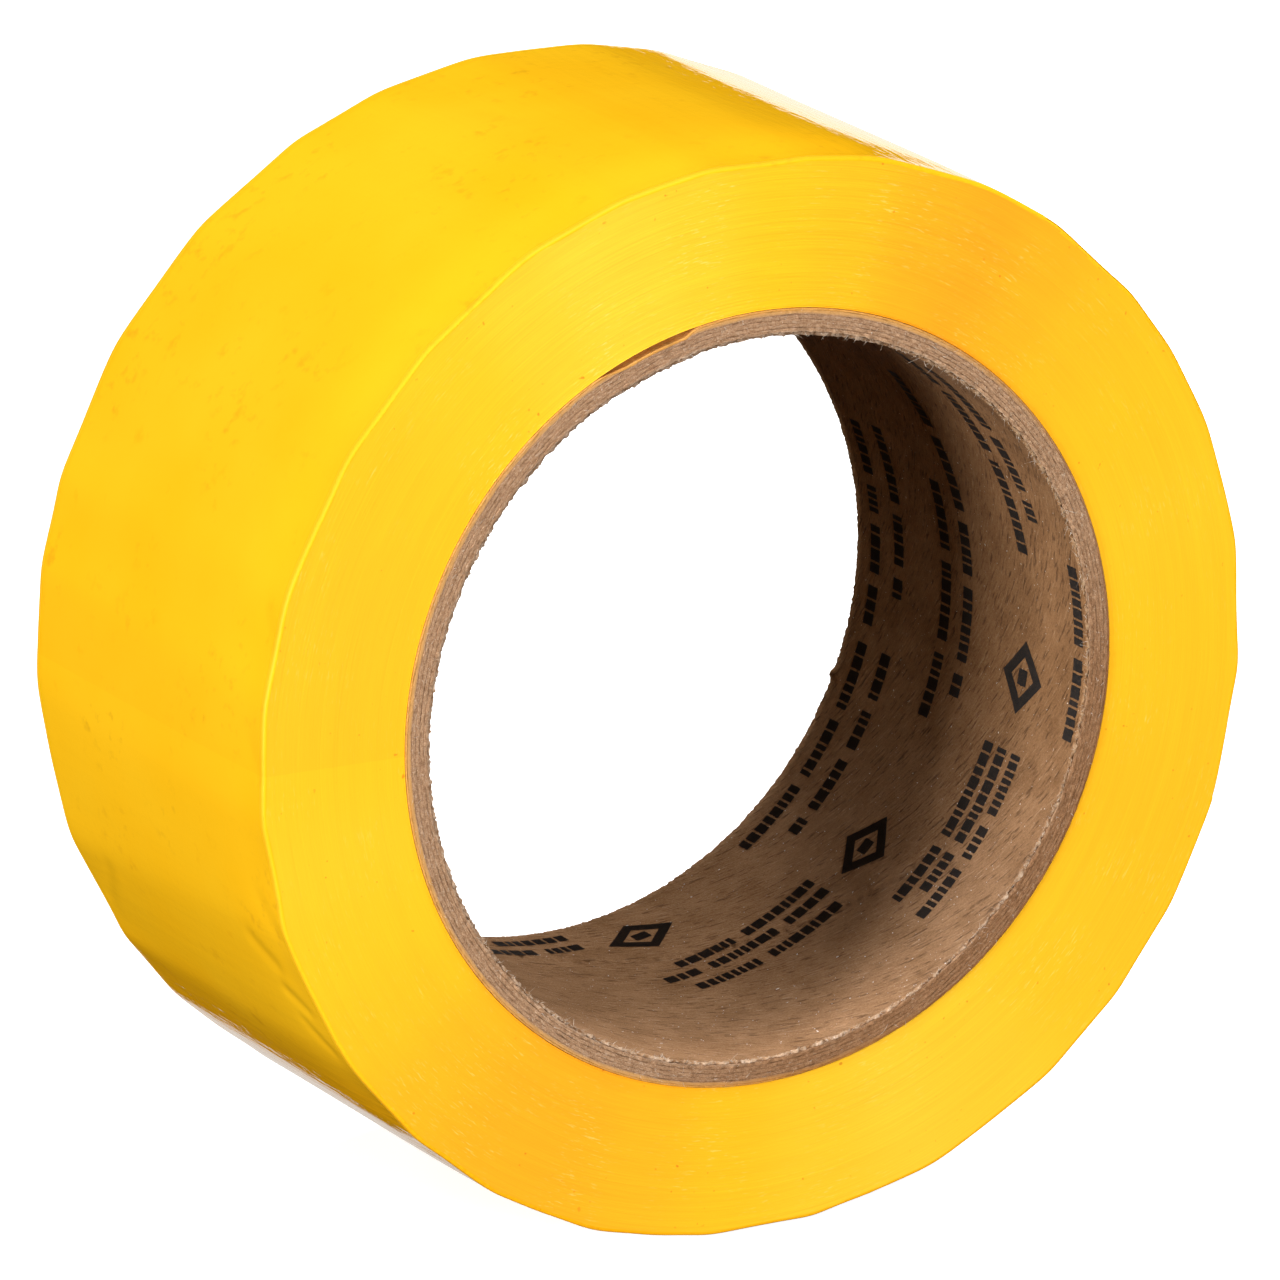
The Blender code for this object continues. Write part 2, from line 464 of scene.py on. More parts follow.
def wound_tape_material():
    """The edges of several hundred turns of film, pressed side by side."""
    roll = RollGraph("wound_tape_edges")
    fine = roll.swept(1.3, 7.0, 4.0, 0.7)
    arcs = roll.swept(9.0, 11.0, 3.0, 0.6)
    lines = roll.plus(roll.times(fine, 0.6), roll.times(arcs, 0.4))
    lively = roll.ramp(roll.turn, grey_stops(LINE_STOPS))
    swing = roll.times(roll.minus(lines, 0.5), lively)
    broad = roll.span(roll.swept(2.2, 0.5, 2.0, 0.5), 0.3, 0.7, 0.98, 1.02)
    light = roll.times(roll.times_plus(swing, 0.72, 1.0), broad)
    # The face's colour ramp carries painted highlights and painted shade by bearing
    colour = roll.scaled(roll.ramp(roll.turn, face_stops_with_painted_sheen(), "EASE"), light)
    patchy = roll.span(roll.grain(0.13, 2.0, 0.5), 0.45, 0.65)
    scratch = roll.span(roll.swept(40.0, 6.0, 2.0, 0.5), 0.60, 0.75)
    scratch = roll.times(roll.times(scratch, roll.times(lively, 0.52)), patchy)
    colour = roll.mixed(scratch, colour, rgb(1.0, 0.80, 0.22))
    few = roll.span(roll.grain(0.21, 0.0, 0.4), 0.50, 0.62)
    speck = roll.times(roll.span(roll.grain(1.6, 1.0, 0.4), 0.735, 0.80), few)
    colour = roll.mixed(roll.times(speck, 0.65), colour, rgb(0.62, 0.15, 0.01))
    roll.shade({"Base Color": colour, "Roughness": 0.40, "IOR": 1.45, "Specular IOR Level": 0.28})
    roll.shade({"Anisotropic": 0.7, "Tangent": roll.outward})
    roll.bump(roll.plus(fine, roll.times(arcs, 0.7)), 0.00003, 0.35)
    return roll.material


def film_material(name="tape_film", inner=False):
    """Glossy yellow film. Its adhesive side is duller and a little deeper in colour."""
    roll = RollGraph(name)
    low = rgb(0.90, 0.415, 0.006) if inner else rgb(0.92, 0.480, 0.0080)
    high = rgb(0.92, 0.465, 0.010) if inner else rgb(0.94, 0.518, 0.0120)
    cloud = roll.span(roll.stretched(3.0, 0.05, 3.0, 0.5), 0.32, 0.68)
    colour = roll.mixed(cloud, low, high)
    smudge = roll.stretched(14.0, 0.34, 4.0, 0.6)
    marks = roll.times(roll.span(smudge, 0.64, 0.78), 0.40)
    colour = roll.mixed(marks, colour, rgb(0.78, 0.33, 0.004))
    where = roll.span(roll.grain(0.075, 2.0, 0.5), 0.47, 0.60)
    scuff = roll.times(roll.span(roll.stretched(30.0, 0.55, 3.0, 0.6), 0.57, 0.72), where)
    colour = roll.mixed(roll.times(scuff, 0.42), colour, rgb(0.62, 0.28, 0.008))
    # Painted shade round the rim, by bearing, multiplied into the film's colour
    painted_shades = [(turn, rgb(1.0, green, blue)) for turn, green, blue in PAINTED_SHADE_STOPS]
    colour = roll.tinted(colour, roll.ramp(roll.turn, painted_shades))

    # At its edges the film turns into the face, where it is duller; its colour there is darkened as painted
    # shade, to tone down the shoulder's highlight, and lifted back a little right at the edge
    away = roll.maths("ABSOLUTE", roll.minus(roll.y, EDGE_FRONT + HALF_WIDTH))
    turned = roll.span(away, HALF_WIDTH - 0.90, HALF_WIDTH - 0.20, 1.0, 0.88)
    face_on = roll.span(away, HALF_WIDTH - 0.15, HALF_WIDTH - 0.02, 0.0, 0.08)
    colour = roll.scaled(colour, roll.plus(turned, face_on))
    roughness = (0.24, 0.38) if inner else (0.035, 0.075)
    edge = roll.span(away, HALF_WIDTH - 1.1, HALF_WIDTH - 0.3)
    gloss = roll.times_plus(edge, 0.5, roll.span(smudge, 0.3, 0.8, *roughness))
    shine = roll.span(away, HALF_WIDTH - 0.9, HALF_WIDTH - 0.2, 0.5, 0.18)
    roll.shade({"Base Color": colour, "Roughness": gloss, "IOR": 1.47, "Specular IOR Level": shine})

    ripples = roll.stretched(34.0, 0.045, 3.0, 0.6)
    dents = roll.times(roll.stretched(62.0, 0.24, 2.0, 0.5), roll.ramp(roll.turn, grey_stops(RIPPLE_STOPS)))
    height = roll.plus(ripples, roll.times(roll.grain(1.1, 2.0, 0.5), 0.35))
    roll.bump(roll.times_plus(dents, 2.6, height), 0.00006, 0.55)
    return roll.material


def kraft_material():
    """The brown liner of the bore: paper fibres and short pits along the strip, paler at the torn edge."""
    roll = RollGraph("kraft_liner")
    threads = roll.wound(92.0, 1.15, 3.0, 0.6)
    grain = roll.grain(4.6, 4.0, 0.75)
    light = roll.plus(roll.times(grain, 0.45), roll.times(roll.grain(0.22, 3.0, 0.55), 0.30))
    light = roll.span(roll.times_plus(threads, 0.25, light), 0.38, 0.62)
    colour = roll.mixed(light, rgb(0.205, 0.104, 0.045), rgb(0.385, 0.218, 0.113))
    pit = roll.times(roll.span(roll.wound(58.0, 1.15, 2.0, 0.55), 0.57, 0.70), 0.65)
    colour = roll.mixed(pit, colour, rgb(0.070, 0.030, 0.013))
    pale = roll.times(roll.span(threads, 0.60, 0.74), 0.5)
    colour = roll.mixed(pale, colour, rgb(0.52, 0.36, 0.24))
    flecks = roll.span(roll.grain(3.1, 1.0, 0.5), 0.75, 0.785)
    colour = roll.mixed(flecks, colour, rgb(0.85, 0.82, 0.78))
    edge = roll.span(roll.times_plus(grain, 1.3, roll.y), CORE_FRONT + 1.00, CORE_FRONT + 0.62)
    colour = roll.mixed(roll.times(edge, 0.8), colour, rgb(0.54, 0.40, 0.29))
    # Painted shade: the right wall of the bore is made darker and more saturated
    right = roll.span(roll.times_plus(roll.sin, 0.30, roll.cos), 0.55, 0.95)
    colour = roll.mixed(right, colour, roll.tinted(colour, rgb(0.92, 0.84, 0.70)))

    # Near the front, painted light makes it paler low down and painted shade makes it darker high up
    wear_and_painted_light = roll.span(roll.y, CORE_FRONT + 12.0, CORE_FRONT + 2.0)
    low = roll.times(roll.span(roll.sin, -0.80, -1.0), 0.45)
    high = roll.times(roll.span(roll.sin, 0.20, 0.80), 0.30)
    colour = roll.scaled(colour, roll.times_plus(wear_and_painted_light, roll.minus(low, high), 1.0))
    roll.shade({"Base Color": colour, "Roughness": 0.80, "IOR": 1.35})
    height = roll.times_plus(threads, 0.8, grain)
    roll.bump(roll.times_plus(pit, -1.2, height), 0.00016, 0.9)
    return roll.material


def board_material(name, dark, light, pale, tan=None, plain=None):
    """Cut paperboard: short fibres pressed flat, with thin dark lines where the plies meet.

    tan is the colour that shows next to the tape, and plain, a darker painted shade, takes the place of the
    texture on the right.
    """
    roll = RollGraph(name)
    deep = rgb(*(0.42 * channel for channel in dark[:3]))
    grain = roll.grain(6.5, 5.0, 0.8)
    streaks = roll.swept(60.0, 5.5, 4.0, 0.7)
    blend = roll.plus(roll.times(grain, 0.55), roll.times(streaks, 0.45))
    colour = roll.mixed(roll.span(blend, 0.38, 0.60), dark, light)

    wander = roll.swept(7.0, 0.8, 3.0, 0.6)
    shifted = roll.times_plus(wander, 0.6, roll.radius)
    ply = roll.maths("FRACT", roll.maths("DIVIDE", roll.minus(shifted, BORE_RADIUS), PLY_PITCH))
    line = roll.span(roll.maths("ABSOLUTE", roll.minus(ply, 0.5)), 0.20, 0.05)
    gaps = roll.span(roll.swept(16.0, 2.4, 3.0, 0.7), 0.42, 0.66)
    line = roll.times(roll.times(line, gaps), 0.62)
    colour = roll.mixed(line, colour, deep)

    tuft = roll.span(roll.swept(60.0, 3.0, 4.0, 0.8), 0.56, 0.68)
    torn = roll.span(roll.swept(34.0, 4.0, 4.0, 0.8), 0.36, 0.58)
    torn_edge = roll.times(roll.times(roll.span(shifted, 38.90, 38.45), torn), 0.9)
    colour = roll.mixed(roll.maths("MAXIMUM", roll.times(tuft, 0.45), torn_edge), colour, pale)
    crumbs = roll.grain(8.0, 2.0, 0.6)
    colour = roll.mixed(roll.times(roll.span(crumbs, 0.64, 0.74), 0.75), colour, pale)
    colour = roll.mixed(roll.times(roll.span(crumbs, 0.36, 0.26), 0.7), colour, deep)

    left = roll.span(roll.times_plus(roll.sin, -0.25, roll.cos), 0.75, 0.25)
    if tan:
        band = roll.span(roll.times_plus(wander, 0.5, roll.radius), 40.48, 40.72)
        colour = roll.mixed(roll.times(roll.times(band, left), 0.85), colour, tan)
    # Painted shade: on the right the texture gives way to a darker plain colour
    if plain:
        colour = roll.mixed(left, plain, colour)
    # Painted shade: darker and warmer towards the lower right
    low_right = roll.minus(roll.times(roll.cos, 0.71), roll.times(roll.sin, 0.71))
    painted_shade_colour = roll.tinted(colour, rgb(0.76, 0.66, 0.56))
    colour = roll.mixed(roll.span(low_right, 0.40, 0.78), colour, painted_shade_colour)
    roll.shade({"Base Color": colour, "Roughness": 0.92, "IOR": 1.30})
    height = roll.times_plus(streaks, 0.6, grain)
    roll.bump(roll.times_plus(line, -0.7, height), 0.00013, 0.8)
    return roll.material


def ink_material():
    roll = RollGraph("stamp_ink")
    wear = roll.grain(4.2, 4.0, 0.75)
    wear_and_painted_light = roll.span(wear, 0.50, 0.72)
    colour = roll.mixed(wear_and_painted_light, rgb(0.010, 0.008, 0.007), rgb(0.060, 0.036, 0.022))
    roll.shade({"Base Color": colour, "Roughness": roll.span(wear, 0.3, 0.7, 0.45, 0.7)})
    roll.bump(wear, 0.00008, 0.6)
    return roll.material


def fibre_material():
    roll = RollGraph("loose_fibres")
    share = roll.span(roll.grain(1.7, 2.0, 0.6), 0.35, 0.65)
    colour = roll.mixed(share, rgb(0.42, 0.29, 0.19), rgb(0.80, 0.72, 0.62))
    roll.shade({"Base Color": colour, "Roughness": 0.9})
    return roll.material


# ---- the core

# The core's front edge is knocked in near the top left. The dent starts and ends over these bearings.
DENT_START = (100.5, 103.0)
DENT_END = (118.5, 112.0)
DENT_DEPTH = 0.60

SEAM_MARGIN = 1.0
SEAM_DEPTH = 0.2
FLAP_BEARING = 337.3
FLAP_HEIGHT = 0.45
LINER_ROWS = 60
PLY_ROWS = 6


def dent_depth(bearing, radius, y):
    inside = smooth_step(*DENT_START, bearing) * smooth_step(*DENT_END, bearing)
    outer_share = smooth_step(BORE_RADIUS + 0.6, CORE_RADIUS, radius)
    near_front = smooth_step(CORE_FRONT + 4.5, CORE_FRONT + 0.4, y)
    return DENT_DEPTH * inside * (0.25 + 0.75 * outer_share) * near_front


def ply_profile(bearings, inner, outer, front, rows, seed, rough):
    """A closed section for each bearing: bore side from front to back, then the outer side back again."""
    count = len(bearings)
    column = (count, 1)
    source = np.random.RandomState(seed)
    length = CORE_BACK - 0.05 - front
    along = np.concatenate([[0.0, 0.25, 0.6, 1.1], np.linspace(2.0, length - 1.5, rows), [length]])
    shape = (count, len(along))
    torn = periodic(seed + 1, 20, 160, 14)(bearings) * 0.5 + source.normal(0, 0.5, count)
    wrapped = np.concatenate([torn[-1:], torn, torn[:1]])
    torn = np.convolve(wrapped, (0.25, 0.5, 0.25), mode="valid")
    back_torn = source.normal(0, 0.4, count)

    fade = np.exp(-along / 0.8)
    inner_side = inner + rough * 0.35 * source.normal(0, 1, shape) * fade
    outer_side = outer - rough * 0.20 * np.abs(source.normal(0, 1, shape)) * fade
    front_fade = np.exp(-along / 0.5)
    y_inner = front + along + rough * torn[:, None] * front_fade
    y_outer = y_inner + 0.5 * rough * source.normal(0, 1, column) * front_fade
    y_inner[:, -1] += rough * back_torn
    y_outer[:, -1] += rough * back_torn

    # The cut ends are rounded off at their rims by these steps, and their middles stand a little proud
    turn = 0.05
    lip = 0.006
    middle = np.full(column, (inner + outer) / 2)
    proud = 0.2 * rough * np.abs(source.normal(0, 1, column))
    crown_front = (y_inner[:, :1] + y_outer[:, :1]) / 2 - proud
    crown_back = y_inner[:, -1:] + 0.04
    inner_rim = inner_side[:, :1] + turn
    outer_rim = outer_side[:, :1] - turn
    inner_lip = y_inner[:, :1] - lip
    outer_lip = y_outer[:, :1] - lip
    radii = [middle, inner_rim, inner_side, middle, outer_side[:, ::-1], outer_rim]
    ys = [crown_front, inner_lip, y_inner, crown_back, y_outer[:, ::-1], outer_lip]
    radii = np.concatenate(radii, axis=1)
    ys = np.concatenate(ys, axis=1)
    return radii - dent_depth(bearings[:, None], radii, ys), ys


def lined_bore(bearings, radii, ys):
    """The inner liner's section with its butt seam, slight waves and a lifted flap at the back."""
    bore_end = LINER_ROWS + 7
    bore_side = slice(2, bore_end)
    circumference = 2 * math.pi * BORE_RADIUS
    lead = circumference * math.tan(STRIP_ANGLE)
    seam = -360 * (ys - CORE_FRONT + SEAM_MARGIN) / lead
    away = (bearings[:, None] - seam + 180) % 360 - 180
    groove = SEAM_DEPTH * smooth_step(0.42, 0.16, np.radians(np.abs(away)) * BORE_RADIUS)
    radii[:, :bore_end] += groove[:, :bore_end]
    radii[:, bore_side] += 0.02 * (1 + periodic(3, 3, 17, 8)(bearings)[:, None])
    flap = np.exp(-(((bearings[:, None] - FLAP_BEARING) / 0.7) ** 2))
    return radii - FLAP_HEIGHT * flap * smooth_step(CORE_BACK - 1.2, CORE_BACK, ys)


def build_core(materials):
    bearings = np.arange(0, 360, 0.3333)
    layers = [("core_inner_liner", INNER_LINER, "kraft", "kraft_liner", LINER_ROWS, 0.19)]
    for number in range(1, BODY_PLIES + 1):
        rough = 0.12 if number == 1 else 0.04
        layers.append((f"core_ply_{number}", BODY_PLY, "board", "paperboard", PLY_ROWS, rough))
    layers.append(("core_outer_liner", OUTER_LINER, "outer", "outer_liner", PLY_ROWS, 0.04))
    inner = BORE_RADIUS
    for index, (name, thickness, look, slot, rows, rough) in enumerate(layers):
        outer = inner + thickness
        slope = 0.14 * (inner - BORE_RADIUS) / (CORE_RADIUS - BORE_RADIUS)
        front = CORE_FRONT + 0.10 + slope
        reach = outer + GLUE_LINE - 0.004
        if look == "kraft":
            front += 0.14
        elif look == "outer":
            reach = outer
        radii, ys = ply_profile(bearings, inner, reach, front, rows, 40 + index * 7, rough)
        if look == "kraft":
            radii = lined_bore(bearings, radii, ys)
        piece = loft(name + "_look", bearings, radii, ys, [materials[look]], lumpy=False, sharp=None)
        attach(piece, "roll")
        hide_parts(name)
        inner = outer + GLUE_LINE


def tubes(paths, widths):
    """Three-sided tubes along paths given as arrays of points, each narrowing to its end."""
    points = []
    faces = []
    for path, width in zip(paths, widths):
        start = len(points)
        steps = len(path)
        for index, point in enumerate(path):
            ahead = path[min(index + 1, steps - 1)] - path[max(index - 1, 0)]
            ahead = ahead / (np.linalg.norm(ahead) + 1e-9)
            side = np.cross(ahead, (0.31, 0.83, 0.46))
            side /= np.linalg.norm(side) + 1e-9
            other = np.cross(ahead, side)
            thick = width * (1 - 0.75 * index / (steps - 1))
            for turn in range(3):
                angle = 2 * math.pi * turn / 3
                points.append(point + thick * (side * math.cos(angle) + other * math.sin(angle)))
        for index in range(steps - 1):
            low = start + index * 3
            for turn in range(3):
                after = (turn + 1) % 3
                faces.append((low + turn, low + after, low + 3 + after, low + 3 + turn))
        end = start + (steps - 1) * 3
        faces.append((start + 2, start + 1, start))
        faces.append((end, end + 1, end + 2))
    return points, faces


FIBRES = 1500


def build_fibres(material):
    """Short paper fibres that stand off the cut ends of the core, thickest along the torn bore edge."""
    source = np.random.RandomState(71)
    steps = np.linspace(0, 1, 5)[:, None]
    paths = []
    widths = []
    for index in range(FIBRES):
        front = index % 5 != 0
        angle = math.radians(source.uniform(0, 360))
        on_edge = source.rand() < 0.72
        radius = BORE_RADIUS + (abs(source.normal(0, 0.14)) if on_edge else source.uniform(0.2, 2.6))
        radial = np.array((math.cos(angle), 0.0, math.sin(angle)))
        tangent = np.array((-math.sin(angle), 0.0, math.cos(angle)))
        length = min(max(source.gamma(3.0, 0.13), 0.12), 1.1)
        heading = tangent * source.normal(0, 1.0)
        heading += radial * (source.normal(-0.7, 0.5) if on_edge else source.normal(0, 0.5))
        heading += np.array((0, -1.0 if front else 1.0, 0)) * abs(source.normal(0.25, 0.3))
        heading /= np.linalg.norm(heading)
        bend = source.normal(0, 0.45, 3)
        start = radial * radius
        start[1] = CORE_FRONT + 0.16 if front else CORE_BACK - 0.02
        paths.append(start + heading * steps * length + bend * (steps**2) * length * 0.6)
        widths.append(source.uniform(0.012, 0.026))
    points, faces = tubes(paths, widths)
    piece = finish_mesh("core_edge_fibres", points, faces, [material])
    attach(piece, "roll")


# ---- marks stamped in the bore

MARK_RADIUS = BORE_RADIUS - 0.02
MARK_STEP = 0.22
MARK_ROUGHNESS = 0.018
DEGREES_PER_MM = 180 / (math.pi * BORE_RADIUS)

# Rows of blocks: (y of the middle, bearing where the row starts, bearing where it ends, height)
BLOCK_ROWS = (
    (18.4, 21.8, -13.0, 2.3), (18.4, -16.0, -54.0, 2.3),
    (13.4, 22.6, -6.2, 2.3), (13.4, -16.0, -48.0, 2.3),
    (3.4, 17.0, -21.0, 2.3), (-1.1, 41.0, -16.0, 2.3),
    (-13.6, 54.0, 12.0, 2.3), (-17.6, 52.0, 19.0, 2.3),
    (4.1, -54.0, -80.0, 2.1), (1.0, -54.0, -85.0, 2.1), (-2.8, -55.0, -82.0, 2.1),
    (-10.1, -21.0, -50.0, 2.1), (-12.8, -21.0, -47.0, 2.1), (-15.6, -21.0, -50.0, 2.1),
    (-23.8, 13.0, -14.0, 2.1), (15.9, -88.0, -112.0, 2.1), (19.4, -88.0, -108.0, 2.1),
)
BLOCK_WIDTHS = (0.55, 0.8, 1.05, 1.3)
BLOCK_GAP = 0.26
GROUP_GAP = 1.2
SIGN_PLACES = ((-78.6, 14.1), (-44.7, 0.9), (-9.3, -13.3))
SIGN_REACH = 3.9
SIGN_LINE = 1.7
SIGN_STEPS = 9


def patch(points, faces, bearing, y, width, height):
    """A curved rectangle on the bore: width runs round the bore and height along the axis."""
    across = max(3, int(width / MARK_STEP) + 1)
    up = max(3, int(height / MARK_STEP) + 1)
    source = np.random.RandomState(int(abs(bearing * 131 + y * 977)) % 100000)
    start = len(points)
    for row in range(up):
        for column in range(across):
            around = column / (across - 1) - 0.5
            along = row / (up - 1) - 0.5
            rim = row in (0, up - 1) or column in (0, across - 1)
            jitter = source.normal(0, MARK_ROUGHNESS, 2) if rim else (0, 0)
            angle = math.radians(bearing) + (around * width + jitter[0]) / BORE_RADIUS
            at = y + along * height + jitter[1]
            points.append((MARK_RADIUS * math.cos(angle), at, MARK_RADIUS * math.sin(angle)))
    for row in range(up - 1):
        for column in range(across - 1):
            low = start + row * across + column
            faces.append((low, low + 1, low + across + 1, low + across))


def block_row(points, faces, source, y, start, end, height):
    """Plain blocks in groups, with gaps between the groups."""
    at = start
    left = source.randint(4, 10)
    while at > end:
        width = source.choice(BLOCK_WIDTHS)
        patch(points, faces, at - width / 2 * DEGREES_PER_MM, y, width, 0.84 * height)
        at -= (width + BLOCK_GAP) * DEGREES_PER_MM
        left -= 1
        if left == 0:
            at -= GROUP_GAP * DEGREES_PER_MM
            left = source.randint(4, 10)


def sign(points, faces, bearing, y):
    """A square frame set on its corner, with a small solid square inside it."""
    corners = [(1, 0), (0, 1), (-1, 0), (0, -1), (1, 0)]
    for (from_x, from_y), (to_x, to_y) in zip(corners, corners[1:]):
        start = len(points)
        for index in range(SIGN_STEPS):
            share = index / (SIGN_STEPS - 1)
            for reach in (SIGN_REACH, SIGN_REACH - SIGN_LINE):
                across = reach * (from_x + (to_x - from_x) * share)
                up = reach * (from_y + (to_y - from_y) * share)
                angle = math.radians(bearing + across * DEGREES_PER_MM)
                points.append((MARK_RADIUS * math.cos(angle), y + up, MARK_RADIUS * math.sin(angle)))
        for index in range(SIGN_STEPS - 1):
            low = start + index * 2
            faces.append((low, low + 1, low + 3, low + 2))
    patch(points, faces, bearing, y, SIGN_LINE, SIGN_LINE)


def build_marks(material):
    seeds = random.Random(17)
    points = []
    faces = []
    for y, start, end, height in BLOCK_ROWS:
        source = np.random.RandomState(seeds.randrange(10**6))
        block_row(points, faces, source, y, start, end, height)
    for bearing, y in SIGN_PLACES:
        sign(points, faces, bearing, y)
    piece = finish_mesh("bore_marks", points, faces, [material])
    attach(piece, "roll")


# ---- the wound tape

# Creases pressed in the rim: (bearing, y) of both ends, depth and half width
CREASES = (
    ((199.5, -14.5), (203.5, -20.0), 0.12, 0.90),
    ((205.5, -17.5), (208.5, -22.0), 0.13, 0.75),
    ((209.0, -18.0), (214.0, -22.6), 0.10, 0.75),
    ((193.0, -19.0), (199.5, -24.6), 0.09, 0.90),
    ((201.0, 17.0), (209.0, 24.0), 0.12, 0.80),
    ((176.0, -21.0), (181.0, -24.6), 0.05, 0.80),
    ((112.0, -6.0), (116.5, 3.0), 0.03, 0.9),
    ((101.5, 2.0), (104.0, 12.0), 0.03, 0.8),
    ((163.0, -20.5), (166.0, -24.0), 0.05, 0.7),
)


def build_first_turn(materials, bearings):
    back = TAPE_FRONT + TAPE_WIDTH
    section = (
        (FIRST_TURN_INNER, TAPE_FRONT + 0.02), (FIRST_TURN_INNER + 0.04, TAPE_FRONT - 0.06),
        (FIRST_TURN_OUTER, TAPE_FRONT - 0.03), (FIRST_TURN_OUTER, back - 0.02),
        (FIRST_TURN_OUTER - 0.04, back + 0.04), (FIRST_TURN_INNER, back - 0.02),
    )
    radii, ys = np.array(section).T[:, None, :] * np.ones((1, len(bearings), 1))
    first = loft("tape_first_turn_look", bearings, radii, ys, [materials["wound"]], lumpy=False)
    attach(first, "roll")
    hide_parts("tape_first_turn")


def face_profile(bearings, inner, outer, seed):
    """Radii and ys of rings across one group's face, each standing off the dish by its own hair."""
    steps = 20
    source = np.random.RandomState(seed)
    radii = np.linspace(inner, outer, steps + 1) + 0 * bearings[:, None]
    offsets = source.normal(0, 0.0016, steps + 1)
    drifts = [0.0013 * periodic(seed + 13 * index, 1, 9, 4)(bearings) for index in range(steps + 1)]
    dish = DISH * (radii - CORE_RADIUS) / (RIM_RADIUS - CORE_RADIUS)
    return radii, TAPE_FRONT + dish + offsets + np.stack(drifts, axis=1)


def build_wound_tape(materials):
    bearings = np.arange(0, 360, 0.5)
    build_first_turn(materials, bearings)
    for number in range(1, TURN_GROUPS + 1):
        inner = GROUP_START + (number - 1) * GROUP_STEP - 0.03
        outer = GROUP_START + number * GROUP_STEP
        if number == TURN_GROUPS:
            outer = RIM_RADIUS - SHOULDER_RADIAL - 0.04
        front_radii, front = face_profile(bearings, inner, outer, 100 * number)
        back_radii, back = face_profile(bearings, inner, outer, 100 * number + 500)
        radii = np.concatenate([front_radii, back_radii[:, ::-1]], axis=1)
        ys = np.concatenate([front, back[:, ::-1] + TAPE_WIDTH], axis=1)
        group = loft(f"tape_turns_{number}_look", bearings, radii, ys, [materials["wound"]])
        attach(group, "roll")
        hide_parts(f"tape_turns_{number}")


def crease_depth(bearings, ys):
    """Valleys with a low ridge on one side, tapering to their ends."""
    to_mm = math.pi / 180 * RIM_RADIUS
    total = np.zeros(bearings.shape)
    for (start_bearing, start_y), (end_bearing, end_y), depth, half_width in CREASES:
        run_x = (end_bearing - start_bearing) * to_mm
        run_y = end_y - start_y
        length = math.hypot(run_x, run_y)
        from_x = (bearings - start_bearing) * to_mm
        from_y = ys - start_y
        along = (from_x * run_x + from_y * run_y) / length**2
        away = (from_x * run_y - from_y * run_x) / length
        taper = smooth_step(-0.08, 0.25, along) * smooth_step(1.10, 0.80, along)
        valley = np.exp(-0.5 * (away / half_width) ** 2)
        ridge = 0.35 * np.exp(-0.5 * ((away - 2.4 * half_width) / (1.5 * half_width)) ** 2)
        total += depth * taper * (valley - ridge)
    return total


def rim_rows():
    """Distances in from the front edge of the film, close together near both edges."""
    shoulder = SHOULDER_AXIAL * (1 - np.cos(np.linspace(0, math.pi / 2, 7)))
    front = np.arange(SHOULDER_AXIAL + 0.3, 15.5, 0.36)
    middle = np.linspace(16.0, TAPE_WIDTH - 4.0, 34)
    back = TAPE_WIDTH - shoulder[::-1]
    return np.concatenate([shoulder, front, middle, [TAPE_WIDTH - 2.6, TAPE_WIDTH - 1.7], back])


def rim_radius(bearings, ys):
    """Radius of the film's outer surface, before the flats of the roll are taken off."""
    from_front = ys - EDGE_FRONT
    depth = np.maximum(np.minimum(from_front, TAPE_WIDTH - from_front), 0)
    share = np.clip((SHOULDER_AXIAL - depth) / SHOULDER_AXIAL, 0, 1)
    shoulder = SHOULDER_RADIAL * (1 - np.sqrt(1 - share**2))
    return RIM_RADIUS - shoulder - crease_depth(bearings, ys)


def recess_share(bearings):
    """1 where the outermost turn is set in, to take the free end."""
    turned = (bearings + 180) % 360 - 180
    entered = smooth_step(END_HINGES[0] - 0.05, END_HINGES[0] + 0.35, turned)
    return entered * smooth_step(END_TIP + 0.35, END_TIP - 0.05, turned)


def film_section(top, ys, thickness):
    """Closed sections of film: its outer side from front to back, then its inner side back again."""
    radii = np.concatenate([top, top[:, ::-1] - thickness], axis=1)
    return radii, np.concatenate([ys, ys[:, ::-1]], axis=1)


def build_outer_wrap(materials):
    """The outermost turn, which takes the rim round both shoulders."""
    bearings = np.arange(0, 360, 1 / 3)
    grid, ys = np.meshgrid(bearings, EDGE_FRONT + rim_rows(), indexing="ij")
    top = rim_radius(grid, ys) - RECESS * recess_share(grid)
    wave = 0.008 * periodic(23, 30, 90, 12)(bearings)[:, None]
    ys = ys - 0.015 + wave * np.exp(-(ys - ys[0, 0]) / 1.2)
    radii, ys = film_section(top, ys, WRAP_THICKNESS)
    wrap = loft("tape_outer_wrap", bearings, radii, ys, [materials["film"]], sharp=60)
    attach(wrap, "roll")


def frame_point(bearing):
    """The point on the rim's middle at a bearing, in metres in the shared frame."""
    angle = math.radians(bearing)
    reach = RIM_RADIUS * float(flattening(np.array(float(bearing)), np.array(RIM_RADIUS), np.array(0.0)))
    return (reach * math.cos(angle) * MM, 0.0, (AXIS_HEIGHT + reach * math.sin(angle)) * MM)


def cap_faces(base, across):
    """Quads that close one cut end of a length of film."""
    quads = []
    for row in range(across // 2 - 1):
        low = base + row
        high = base + across - 1 - row
        quads.append((low, high, high - 1, low + 1))
    return quads


